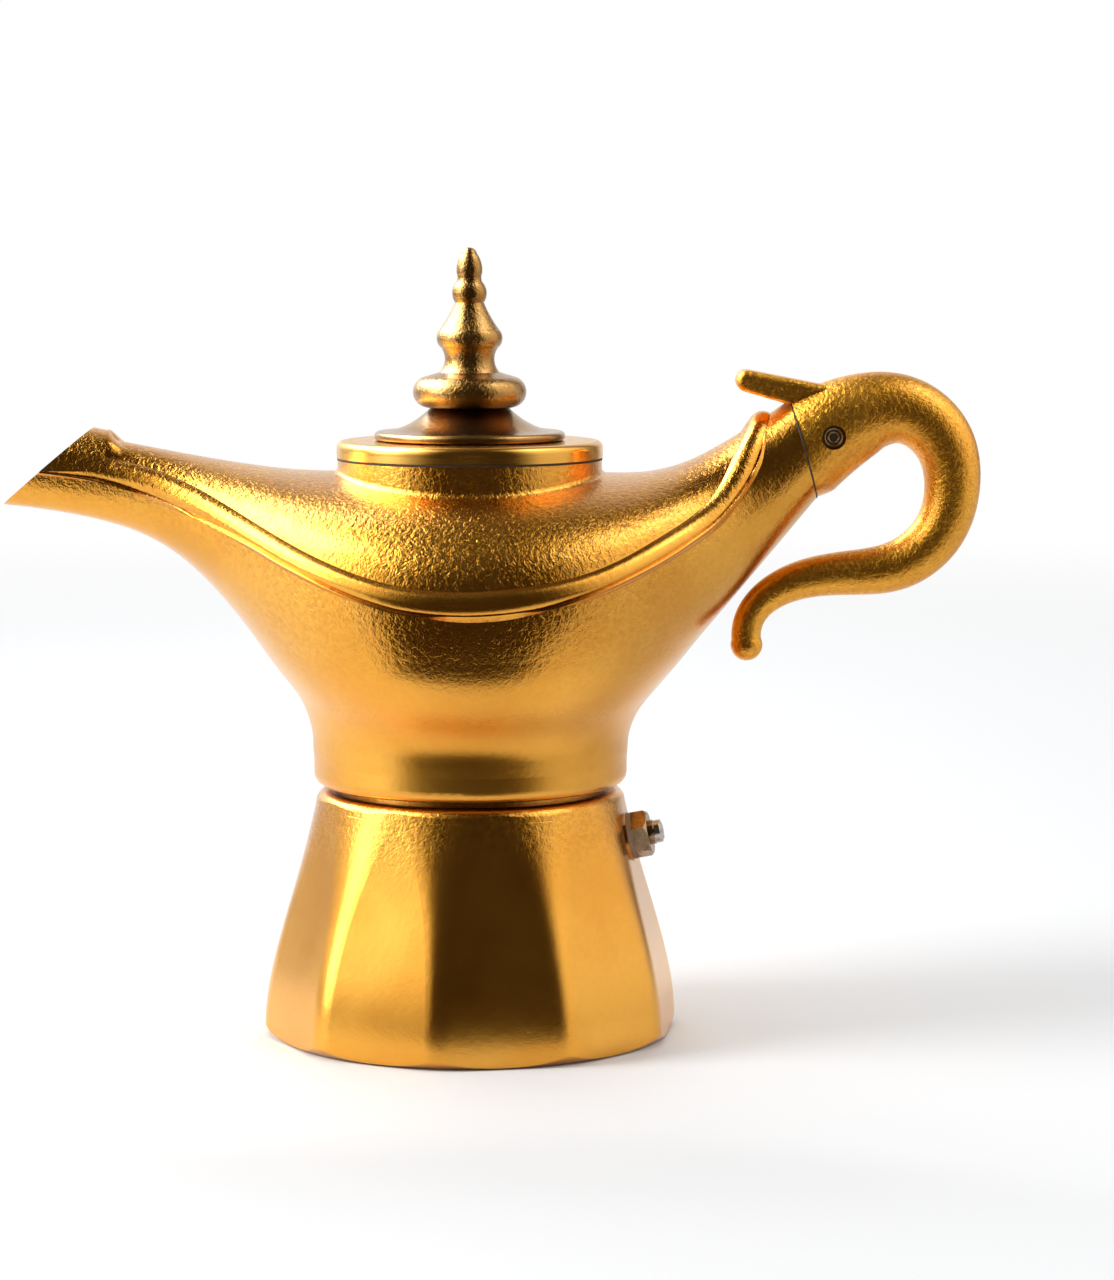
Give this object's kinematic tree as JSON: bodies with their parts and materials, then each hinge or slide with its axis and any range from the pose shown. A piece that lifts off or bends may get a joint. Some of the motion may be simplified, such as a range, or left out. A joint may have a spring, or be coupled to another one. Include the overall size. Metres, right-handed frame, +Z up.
{
  "type": "stovetop coffee maker",
  "caption": "Stovetop moka coffee maker shaped like an oil lamp: faceted boiler with relief valve, screwed spouted upper pot with curled handle, lift-off lid with finial.",
  "frame": {"origin": "centre of the boiler's flat base, on the boiler's axis", "axes": "+Z up along the boiler's axis, spout to -X, handle to +X"},
  "size_m": [0.2346, 0.1108, 0.1892],
  "materials": {
    "gold_cast": "gold lacquer over a fine cast skin",
    "gold_polished": "gold lacquer, polished",
    "gold_turned": "gold lacquer, darker",
    "gold_grip": "gold lacquer over a hammered grip moulding",
    "valve_bronze": "dull",
    "steel": "bare",
    "rivet_steel": "dark",
    "bare_aluminium": "bare",
    "seal": "white silicone"
  },
  "bodies": {
    "boiler": {"boiler": "gold_cast", "valve_body": "valve_bronze", "valve_washer": "valve_bronze", "valve_cap": "valve_bronze", "valve_spring": "steel"},
    "relief": {"valve_stem": "steel", "valve_button": "steel"},
    "funnel": {"funnel": "bare_aluminium", "funnel_tube": "bare_aluminium", "funnel_screen": "bare_aluminium"},
    "seal": {"gasket": "seal", "filter_plate": "bare_aluminium"},
    "upper_pot": {"collector": "gold_cast", "riser": "bare_aluminium", "handle": "gold_grip", "handle_rivet": "rivet_steel", "rivet_washers": "rivet_steel"},
    "lid": {"lid_disc": "gold_polished", "lid_dome": "gold_turned", "finial": "gold_grip", "finial_washer": "steel", "finial_screw": "steel"}
  },
  "joints": [
    {"name": "relief_slide", "type": "slide", "parent": "boiler", "child": "relief", "axis": [0.9699, -0.1363, 0.2018], "range_m": [0, 0.0012], "stiffness_N_per_m": 500, "springref_m": -0.003, "deforming": ["valve_spring"]},
    {"name": "funnel_lift", "type": "slide", "parent": "boiler", "child": "funnel", "axis": [0, 0, 1], "range_m": [0, 0.075]},
    {"name": "thread_rise", "type": "slide", "parent": "funnel", "child": "seal", "axis": [0, 0, 1], "range_m": [0, 0.0095]},
    {"name": "pot_turn", "type": "hinge", "parent": "seal", "child": "upper_pot", "pos_m": [0, 0, 0.07], "axis": [0, 0, 1], "range_deg": [0, 1080]},
    {"name": "lid_lift", "type": "slide", "parent": "upper_pot", "child": "lid", "axis": [0, 0, 1], "range_m": [0, 0.05]}
  ],
  "couplings": [
    {"joint": "thread_rise", "follows": "pot_turn", "m_per_rad": 0.00047746}
  ]
}
